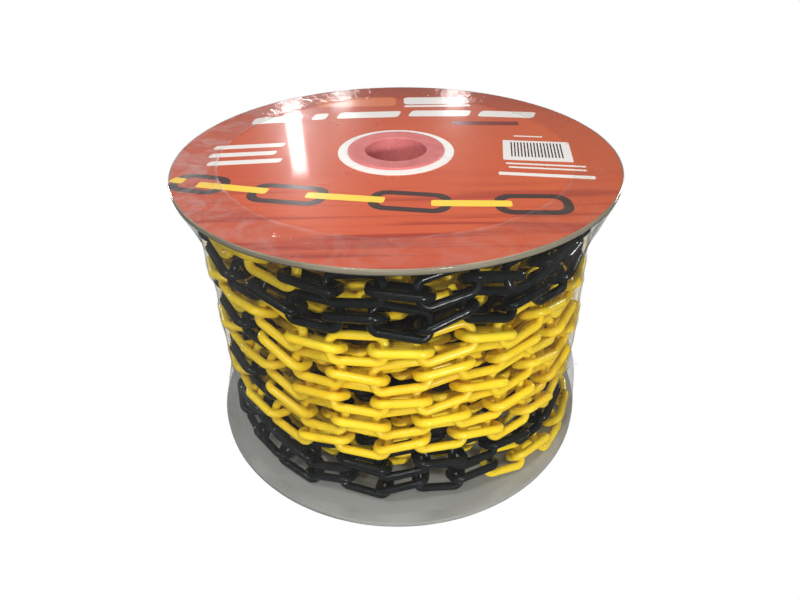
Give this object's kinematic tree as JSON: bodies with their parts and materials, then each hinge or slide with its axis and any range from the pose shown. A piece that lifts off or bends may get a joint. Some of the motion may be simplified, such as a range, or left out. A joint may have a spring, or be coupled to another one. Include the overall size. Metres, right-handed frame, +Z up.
{
  "type": "plastic safety chain reel",
  "caption": "Reel of black and yellow plastic safety chain between two board flanges, in a clear shrink sleeve.",
  "frame": {"origin": "centre of the reel's underside, where it stands on its lower flange", "axes": "+Z up the reel's axis, -Y towards the front"},
  "size_m": [0.3206, 0.3206, 0.2282],
  "materials": {
    "grey_board": "matte",
    "raw_board": "matte",
    "core_board": "matte",
    "hub_plastic": "semi-gloss",
    "white_plastic": "semi-gloss",
    "label_paper": "gloss coated",
    "clear_film": "clear",
    "black_plastic": "gloss",
    "yellow_plastic": "gloss"
  },
  "bodies": {
    "reel": {"bottom_flange": "grey_board", "top_flange": "raw_board", "core_tube": "core_board", "top_bush": "hub_plastic", "bottom_bush": "hub_plastic", "hub_washer": "white_plastic", "top_label": "label_paper", "shrink_sleeve": "clear_film", "outer_yellow_1": "yellow_plastic", "outer_black_1": "black_plastic", "outer_yellow_2": "yellow_plastic", "outer_black_2": "black_plastic", "outer_yellow_3": "yellow_plastic", "outer_black_3": "black_plastic", "outer_yellow_4": "yellow_plastic", "outer_black_4": "black_plastic", "second_yellow_1": "yellow_plastic", "second_black_1": "black_plastic", "second_yellow_2": "yellow_plastic", "second_black_2": "black_plastic", "second_yellow_3": "yellow_plastic", "second_black_3": "black_plastic", "second_yellow_4": "yellow_plastic", "third_black_1": "black_plastic", "third_yellow_1": "yellow_plastic", "third_black_2": "black_plastic", "third_yellow_2": "yellow_plastic", "third_black_3": "black_plastic", "third_yellow_3": "yellow_plastic", "third_black_4": "black_plastic", "third_yellow_4": "yellow_plastic", "fourth_black_1": "black_plastic", "fourth_yellow_1": "yellow_plastic", "fourth_black_2": "black_plastic", "fourth_yellow_2": "yellow_plastic", "fourth_black_3": "black_plastic", "fourth_yellow_3": "yellow_plastic"},
    "tail_link_1": {"tail_link_1": "yellow_plastic"},
    "tail_link_2": {"tail_link_2": "yellow_plastic"},
    "tail_link_3": {"tail_link_3": "yellow_plastic"},
    "tail_link_4": {"tail_link_4": "yellow_plastic"},
    "tail_link_5": {"tail_link_5": "yellow_plastic"}
  },
  "joints": [
    {"name": "tail_swing_1", "type": "hinge", "parent": "reel", "child": "tail_link_1", "pos_m": [0.06693, -0.11901, 0.02106], "axis": [0, 0, 1], "range_deg": [-1.2, 9]},
    {"name": "tail_swing_2", "type": "hinge", "parent": "tail_link_1", "child": "tail_link_2", "pos_m": [0.09168, -0.10713, 0.0146], "axis": [0, 0, -1], "range_deg": [-9, 1.5]},
    {"name": "tail_swing_3", "type": "hinge", "parent": "tail_link_2", "child": "tail_link_3", "pos_m": [0.11356, -0.09016, 0.0134], "axis": [0, 0, 1], "range_deg": [-2, 10]},
    {"name": "tail_swing_4", "type": "hinge", "parent": "tail_link_3", "child": "tail_link_4", "pos_m": [0.12933, -0.06774, 0.0134], "axis": [0, 0, -1], "range_deg": [-12, 3]},
    {"name": "tail_swing_5", "type": "hinge", "parent": "tail_link_4", "child": "tail_link_5", "pos_m": [0.13959, -0.0428, 0.0134], "axis": [0, 0, 1], "range_deg": [-6, 15]}
  ]
}
